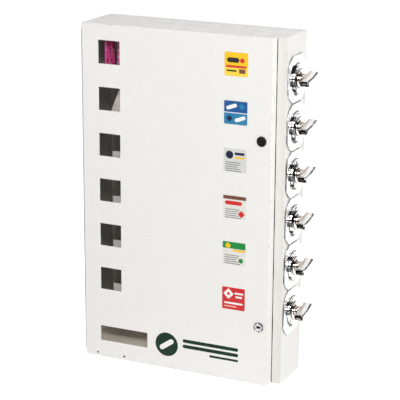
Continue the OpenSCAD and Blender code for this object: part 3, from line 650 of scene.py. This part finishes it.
def stood(low, high, turn=Matrix(), corner=0.0):
    """Where a pouch of this box stands, turned, its corner so far across from the box's left side."""
    across = low.x / MM + corner if corner else (low.x + high.x) / 2 / MM
    along = (low.y + high.y) / 2 / MM if corner else low.y / MM
    return Matrix.Translation((across, along, low.z / MM)) @ turn


on_corner = Matrix.Rotation(sachet_lean, 4, "Y") @ Matrix.Rotation(radians(90), 4, "Z")
aslant = stood(*leaning, on_corner, sachet_size[0] * cos(sachet_lean))
packs = [pouch("pack_pink_left", *pack_size, stood(*first), pink_film, 3.1, 1.5),
         pouch("pack_pink_right", *pack_size, stood(*second), pink_film, 8.7, 1.5),
         pouch("pack_pale", *sachet_size, aslant, pale_film, 5.5, 0.5)]
for pack in packs:
    fixed(pack, "cabinet", "foil")
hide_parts("stock_packs")

# Continuous hinge: two rolled steel leaves with interlocking knuckles on one long pin. One leaf is
# spot-welded inside the cabinet's left side and the other inside the door's edge. Zinc plated.
zinc_hinge = zinc("zinc_hinge", tone(192, 193, 194), (300, 300, 60), 0.34)
soft_edged("hinge_cabinet_leaf", "cabinet", "zinc", zinc_hinge, 0.2)
soft_edged("hinge_pin", "cabinet", "zinc", zinc_turned, 0.3)
soft_edged("hinge_door_leaf", "door", "zinc", zinc_hinge, 0.2)

# Door: a steel sheet folded into a shallow pan, with six windows, the delivery slot and two lock holes
# punched in its face. Sprayed with the same enamel as the cabinet.
door_low, door_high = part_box("door_panel")


def rivet_rings(tree, place):
    """The dark rings that the two rivets at the foot leave on the enamel."""
    across, _, above = split(tree, place)
    middles = [(low + high).xz / 2 / MM for low, high in islands("door_rivets")]
    rings = [near(tree, off_middle(tree, (across, above), at)[2], 2.2, -0.3) for at in middles]
    return ((sums(tree, "MAXIMUM", *rings), tone(30, 28, 26)),)


door_enamel = enamel("door_enamel", warm_white, door_low, door_high, 0.35, marks=rivet_rings)


def door_rounding(x, y, z):
    """Folds round the outside of the pan, and the slightly blunt edges of the punched openings."""
    folded = on_sides(door_low, door_high, (x, y, z)) > 1 and y < door_high.y / MM - 0.5
    return 1.8 if folded else 0.3


soft_edged("door_panel", "door", "paint", door_enamel, door_rounding, 3)

# Door gap shade: a thin dark strip on the cabinet's front flange, where the free edge of the door closes on
# it, painted shade standing in for the shadow in the gap. A little of it shows beside the door as a dark,
# uneven line.
gap_shade, tree, shader, place = finish("gap_shade_finish")
speckle = clouds(tree, place, 900.0, 3.0, 0.7)
strip_mottle = clouds(tree, place, 22.0, 4.0, 0.7)
tree.links.new(mixed(tree, graded(tree, strip_mottle, 0.42, 0.62), tone(46, 44, 42), tone(122, 118, 112)),
               shader.inputs["Base Color"])
tree.links.new(graded(tree, speckle, 0.3, 0.7, 0.8, 0.95), shader.inputs["Roughness"])
raised(tree, shader, speckle, 0.1 * MM, 0.6)
flange_y, inner, steps = shell_low.y, door_high.x - 4 * MM, 160
strip_face_y = flange_y - 0.6 * MM
bm = bmesh.new()
rows = []
for i in range(steps + 1):
    z = door_low.z + 2 * MM + (door_high.z - door_low.z - 4 * MM) * i / steps
    out = door_high.x + (1.3 + 0.35 * noise.noise(Vector((0.3, 0.7, z * 45)))) * MM
    section = (inner, flange_y), (out, flange_y), (out - 0.2 * MM, strip_face_y), (inner, strip_face_y)
    rows.append([bm.verts.new((x, y, z)) for x, y in section])
bridged(bm, rows)
for end in (rows[0], rows[-1]):
    bm.faces.new(end)
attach(shaped("door_gap_shade", bm, gap_shade), "cabinet")

# Window strip: one long strip of clear acrylic behind the six windows, slid between two folded rails
# that are spot-welded to the door. Faintly hazed by wiping.
clear_strip, tree, shader, place = finish("clear_strip")
haze = placed(tree, rolled_grain, Vector=place, Stretch=(300, 300, 20))
tree.links.new(mixed(tree, haze["Smear"], tone(30, 32, 32), tone(52, 54, 53)), shader.inputs["Base Color"])
tree.links.new(graded(tree, haze["Smear"], 0.0, 1.0, 0.03, 0.1), shader.inputs["Roughness"])
glance = wired(tree, "ShaderNodeLayerWeight", {"Blend": 0.3}).outputs["Facing"]
tree.links.new(graded(tree, glance, 0.3, 1.0, 0.03, 0.4), shader.inputs["Alpha"])
shader.inputs["IOR"].default_value = 1.49
soft_edged("window_glazing", "door", "clear_strip", clear_strip, 0.2)
rail_enamel = enamel("rail_enamel", tone(230, 228, 223), *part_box("glazing_rails"), 0.5)
soft_edged("glazing_rails", "door", "paint", rail_enamel, 0.25)

# Locks: two cam locks through the door, each a barrel with a round bezel, a plug with a key slot and a
# cam behind the cabinet's front flange. The upper one is blackened, the lower one plated and worn dull.
lock_black, tree, shader, place = finish("lock_black")
worn = placed(tree, rolled_grain, Vector=place, Stretch=(500, 120, 500))
tree.links.new(mixed(tree, worn["Smear"], tone(14, 13, 13), tone(34, 32, 30)), shader.inputs["Base Color"])
tree.links.new(graded(tree, worn["Smear"], 0.0, 1.0, 0.2, 0.36), shader.inputs["Roughness"])
shader.inputs["Metallic"].default_value = 0.4
raised(tree, shader, worn["Grain"], 0.03 * MM, 0.4)
lock_low, lock_high = (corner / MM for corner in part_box("lower_lock_barrel"))
lock_middle = (lock_low + lock_high).xz / 2
bezel_r = (lock_high.x - lock_low.x) / 2


def lock_shade(tree, place):
    """Painted shade: a dark, uneven ring round the bezel's edge and a dark patch in the key slot."""
    across, _, above = split(tree, place)
    aside, up, out = off_middle(tree, (across, above), lock_middle)
    uneven = graded(tree, clouds(tree, place, 120.0, 2.0), 0.34, 0.5)
    rim = both(tree, near(tree, out, bezel_r - 2.2, 0.4), uneven)
    slot = both(tree, near(tree, aside, 4.3, -0.3), near(tree, up, 2.15, -0.25))
    return ((rim, tone(42, 40, 38)), (slot, tone(20, 18, 17)))


lock_chrome = chrome("lock_chrome", tone(240, 240, 240), (220, 220, 220), 0.3, lock_shade, 0.25)
for which, metal, slot in (("upper", lock_black, "black_lock"), ("lower", lock_chrome, "chrome")):
    soft_edged(f"{which}_lock_barrel", "door", slot, metal, 0.5, 3)
    soft_edged(f"{which}_lock_plug", f"{which}_lock", slot, metal, 0.3)
    soft_edged(f"{which}_lock_cam", f"{which}_lock", "zinc", zinc_plate, 0.4)
soft_edged("lock_nuts", "door", "zinc", zinc_plate, 0.5)

# Foot rivets: two small steel rivets near the lower left corner of the door, closed through its sheet
# and dark with age.
rivet_steel = zinc("rivet_steel", tone(20, 18, 17), (400, 400, 400), 0.45)
face_y = door_low.y
rivets("door_rivets", "door", rivet_steel, face_y, 0.64, sheet)

# Display cards: printed cards of coated board with rounded corners, glued to the door beside each row.
# The prints are plain blocks, bars and spots of bright colour on a coloured ground.
printed_shape, given, made = effect(
    "printed_shape",
    {"Vector": (0, 0, 0), "Place": (0, 0, 0), "Size": (10 * MM, 0, 10 * MM), "Turn": 0.0, "Round": MM},
    ("Mask",))
off = vectors(printed_shape, "SUBTRACT", given["Vector"], given["Place"])
turned = wired(printed_shape, "ShaderNodeVectorRotate", {"Vector": off, "Angle": given["Turn"]},
               rotation_type="Y_AXIS").outputs[0]
half = vectors(printed_shape, "MULTIPLY", given["Size"], (0.5, 0.5, 0.5))
past = vectors(printed_shape, "SUBTRACT", vectors(printed_shape, "ABSOLUTE", turned), half)
past_x, _, past_z = split(printed_shape, past)
past_x = sums(printed_shape, "ADD", past_x, given["Round"])
past_z = sums(printed_shape, "ADD", past_z, given["Round"])
out_x, out_z = (sums(printed_shape, "POWER", sums(printed_shape, "MAXIMUM", way), 2.0)
                for way in (past_x, past_z))
outside = sums(printed_shape, "SQRT", sums(printed_shape, "ADD", out_x, out_z))
inside = sums(printed_shape, "MINIMUM", sums(printed_shape, "MAXIMUM", past_x, past_z))
edge = sums(printed_shape, "SUBTRACT", sums(printed_shape, "ADD", outside, inside), given["Round"])
printed_shape.links.new(graded(printed_shape, edge, 0.1 * MM, -0.1 * MM), made["Mask"])


def printed(name, ground, shapes, centre):
    """Coated board with blocks of print: (across, up, width, height, turn in degrees, rounding, colour)."""
    material, tree, shader, place = finish(name)
    board = placed(tree, rolled_grain, Vector=place, Stretch=(700, 700, 700))
    shade = mixed(tree, both(tree, board["Smear"], 0.05), ground, tone(150, 146, 138))
    for across, up, width, height, turn, rounding, colour in shapes:
        mask = placed(tree, printed_shape, Vector=place, Place=centre + Vector((across, 0, up)) * MM,
                      Size=(width * MM, 0, height * MM), Turn=radians(turn), Round=rounding * MM)["Mask"]
        shade = mixed(tree, mask, shade, colour)
    tree.links.new(shade, shader.inputs["Base Color"])
    tree.links.new(graded(tree, board["Smear"], 0.0, 1.0, 0.3, 0.42), shader.inputs["Roughness"])
    raised(tree, shader, board["Grain"], 0.02 * MM, 0.3)
    return material


def board_card(name, low, high, material, corner=1.6, blunt=0.15):
    """A card with rounded corners and a blunt front edge, in the box of its CAD solid."""
    bm = bmesh.new()
    rings = []
    for y, inset in ((high.y, 0.0), (low.y + blunt * MM, 0.0), (low.y, blunt * MM)):
        ring = []
        for corner_x, corner_z, start in ((1, 1, 0), (0, 1, 90), (0, 0, 180), (1, 0, 270)):
            mid_x = (low.x + corner * MM, high.x - corner * MM)[corner_x]
            mid_z = (low.z + corner * MM, high.z - corner * MM)[corner_z]
            for step in range(7):
                a = radians(start + step * 15)
                ring.append(bm.verts.new((mid_x + (corner * MM - inset) * cos(a), y,
                                          mid_z + (corner * MM - inset) * sin(a))))
        rings.append(ring)
    bm.faces.new(rings[0])
    bm.faces.new(rings[-1])
    bridged(bm, rings)
    return shaped(name, bm, material)


white, black, ink = tone(244, 243, 240), tone(34, 30, 28), tone(124, 124, 126)
yellow, red, brown = tone(246, 198, 14), tone(212, 38, 42), tone(120, 74, 52)
blue, teal, navy, green = tone(14, 84, 150), tone(28, 126, 172), tone(24, 28, 68), tone(36, 142, 66)
paper = tone(228, 225, 219)
print_lines = ((-4, -4, 30), (-5, -8, 28), (-7, -12, 24), (-5, -16, 28), (-3, -20, 32))
fine_print = [(across, up, width, 1.6, 0, 0.6, ink) for across, up, width in print_lines]
card_prints = [
    (yellow, [(0, -13, 46, 18, 0, 0, tone(248, 212, 70)), (-6, 7.5, 24, 9, 0, 4.5, black),
              (12, 7.5, 9, 9, 0, 4.5, red), (0, -4.2, 40, 4, 0, 0.4, red), (-9, -12, 20, 3, 0, 1.5, black),
              (12, -12, 12, 8, 0, 1, brown)]),
    (teal, [(0, 11, 46, 22, 0, 0, blue), (0, 0, 46, 1.4, 0, 0, white), (-8, 11, 22, 7, 20, 3.5, white),
            (12, 12, 9, 9, 45, 0.8, teal), (9, -11, 22, 7, 20, 3.5, white), (-12, -11, 9, 9, 45, 0.8, navy)]),
    (tone(214, 214, 210), [(-11, 10, 15, 15, 0, 7.5, navy), (9, 13, 20, 5, 0, 2.5, navy),
                           (9, 5.5, 20, 3.5, 0, 1.7, yellow), *fine_print]),
    (paper, [(0, 18.5, 46, 7, 0, 0, brown), (-2, 8, 34, 7.5, 0, 3.7, red), (14, -12, 10, 10, 45, 1, red),
             *fine_print]),
    (paper, [(0, 15.5, 46, 13, 0, 0, green), (-12, 14.5, 10, 10, 0, 5, yellow),
             (10, 6, 26, 3.6, 0, 1.8, yellow), *fine_print, (14, -13, 9, 9, 0, 4.5, green)]),
    (red, [(-10, 9, 15, 15, 45, 1.5, white), (-10, 9, 6, 6, 0, 3, red), (11, 11, 18, 3.6, 0, 1.8, white),
           (11, 4, 14, 3.6, 0, 1.8, white), (0, -9, 38, 3.6, 0, 1.8, white),
           (-6, -15.5, 26, 3, 0, 1.5, tone(236, 170, 160))]),
]
for k, (low, high) in enumerate(sorted(islands("product_cards"), key=lambda box: -box[0].z), 1):
    ground, shapes = card_prints[k - 1]
    print_finish = printed(f"card_print_{k}", ground, shapes, (low + high) / 2)
    fixed(board_card(f"display_card_{k}", low, high, print_finish), "door", "card_print")
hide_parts("product_cards")

# Door mark: a plain decoration screen-printed in dark green at the foot of the door, a disc with a
# slanting bar and three stripes, a film of ink on the enamel.
mark_ink, tree, shader, place = finish("mark_ink")
coat = placed(tree, rolled_grain, Vector=place, Stretch=(900, 900, 900))
tree.links.new(mixed(tree, coat["Smear"], tone(4, 42, 28), tone(10, 52, 36)), shader.inputs["Base Color"])
shader.inputs["Specular IOR Level"].default_value = 0.2
tree.links.new(graded(tree, coat["Smear"], 0.0, 1.0, 0.36, 0.5), shader.inputs["Roughness"])
raised(tree, shader, coat["Grain"], 0.02 * MM, 0.3)
mark_white = enamel("mark_white", tone(240, 239, 235), door_low, door_high, 0.0)


def inked(name, across, up, width, height, material, layer, turn=0.0):
    """A round-ended patch of ink on the door's face, layer counting the films under it."""
    low = Vector((-width / 2 * MM, face_y - (0.06 * layer + 0.06) * MM, -height / 2 * MM))
    high = Vector((width / 2 * MM, face_y + 0.01 * MM, height / 2 * MM))
    patch = board_card(name, low, high, material, min(width, height) / 2 - 0.01, 0.03)
    patch.data.transform(Matrix.Translation((across * MM, 0, up * MM)) @ Matrix.Rotation(turn, 4, "Y"))
    return fixed(patch, "door", "card_print")


inked("mark_disc", -26, -281, 48, 48, mark_ink, 0)
inked("mark_bar", -26, -281, 34, 10, mark_white, 1, radians(-35))
inked("mark_stripe_long", 66, -268, 116, 7, mark_ink, 0)
inked("mark_stripe_mid", 66, -279, 116, 7, mark_ink, 0)
inked("mark_stripe_short", 94, -290, 60, 4.5, mark_ink, 0)

# Studio: a plain pale floor, an even white room, five soft lamps and, seen only in reflections, a dark
# screen on the floor and a dark sweep of the room that give the chrome its black streaks.


def sight(tree):
    """What the eye meets straight on, and what it meets at all, by a mirror or a clear strip too."""
    rays = wired(tree, "ShaderNodeLightPath").outputs
    bent = sums(tree, "MAXIMUM", rays["Is Glossy Ray"], rays["Is Transmission Ray"])
    return rays["Is Camera Ray"], sums(tree, "MAXIMUM", rays["Is Camera Ray"], bent)


stage_floor = bpy.data.meshes.new("studio_floor")
floor_z = shell_low.z - 0.2 * MM
corners = [(-9, -6, floor_z), (9, -6, floor_z), (9, 14, floor_z), (-9, 14, floor_z)]
stage_floor.from_pydata(corners, [], [(0, 1, 2, 3)])
pale_floor, tree, shader, place = finish("pale_floor")
tone_floor = mixed(tree, clouds(tree, place, 3.0, 3.0), tone(244, 244, 243), tone(248, 248, 247))
tree.links.new(tone_floor, shader.inputs["Base Color"])
shader.inputs["Roughness"].default_value = 0.85
_, seen = sight(tree)
lift = wired(tree, "ShaderNodeEmission", {"Strength": both(tree, seen, 0.75)})
lit = wired(tree, "ShaderNodeAddShader", {0: shader.outputs[0], 1: lift.outputs[0]})
tree.links.new(lit.outputs[0], tree.nodes["Material Output"].inputs["Surface"])
new_piece("studio_floor", stage_floor, pale_floor)

world = bpy.data.worlds.new("white_room")
world.use_nodes = True
bpy.context.scene.world = world
tree = world.node_tree
straight, seen = sight(tree)
room = tree.nodes["Background"]
room.inputs["Color"].default_value = (1, 1, 1, 1)
_, ahead, above = split(tree, wired(tree, "ShaderNodeTexCoord").outputs["Generated"])
sweep = both(tree, graded(tree, ahead, -0.25, -0.1), graded(tree, above, 0.82, 0.75))
bright = graded(tree, sums(tree, "MAXIMUM", sweep, straight), 0.0, 1.0, 0.03, 1.0)
strength = wired(tree, "ShaderNodeMix", {0: seen, 2: 0.25, 3: bright}).outputs[0]
tree.links.new(strength, room.inputs["Strength"])


def aimed(thing, place, target):
    thing.location = place
    thing.rotation_euler = (Vector(target) - Vector(place)).to_track_quat("-Z", "Y").to_euler()


def soft_lamp(name, place, size, power):
    lamp = bpy.data.lights.new(name, "AREA")
    lamp.shape, lamp.size, lamp.energy = "DISK", size, power
    holder = bpy.data.objects.new(name, lamp)
    bpy.context.scene.collection.objects.link(holder)
    aimed(holder, place, (0, -0.05, 0))


soft_lamp("lamp_right", (2.4, -0.2, 1.7), 1.4, 33)
soft_lamp("lamp_high", (1.1, -2.8, 2.0), 0.8, 52)
soft_lamp("lamp_front", (1.6, -3.1, 0.9), 0.7, 17)
soft_lamp("lamp_left", (-2.6, -1.2, 0.8), 1.2, 9)
soft_lamp("lamp_top", (0.1, 0.1, 2.6), 1.6, 9)

dark_screen, tree, shader, place = finish("dark_screen")
tree.links.new(mixed(tree, clouds(tree, place, 2.0, 2.0), tone(18, 17, 16), tone(30, 28, 26)),
               shader.inputs["Base Color"])


def screen(name, place, target, width, height):
    """A dark screen that only shows in reflections."""
    mesh = bpy.data.meshes.new(name)
    corners = [(x * width / 2, y * height / 2, 0) for x, y in ((-1, -1), (1, -1), (1, 1), (-1, 1))]
    mesh.from_pydata(corners, [], [(0, 1, 2, 3)])
    holder = new_piece(name, mesh, dark_screen)
    aimed(holder, place, target)
    holder.visible_camera = holder.visible_diffuse = False
    holder.visible_shadow = holder.visible_transmission = False


screen("screen_floor", (0.6, -1.14, floor_z + 0.002), (0.6, -1.14, 3.0), 3.2, 1.68)

camera = bpy.data.cameras.new("camera")
camera.sensor_width, camera.lens = 36.0, 141.38
eye = bpy.data.objects.new("camera", camera)
bpy.context.scene.collection.objects.link(eye)
ahead = Vector((-0.40417032, 0.87240513, -0.27487385))
level = ahead.cross(Vector((0, 0, 1))).normalized()
tilt = Matrix.Rotation(radians(-0.336), 3, ahead)
right = tilt @ level
above = right.cross(ahead)
eye.matrix_world = Matrix((right, above, -ahead)).transposed().to_4x4()
eye.location = (1.2204, -2.6559, 0.8172)
bpy.context.scene.camera = eye
bpy.context.scene.view_settings.view_transform = "Standard"
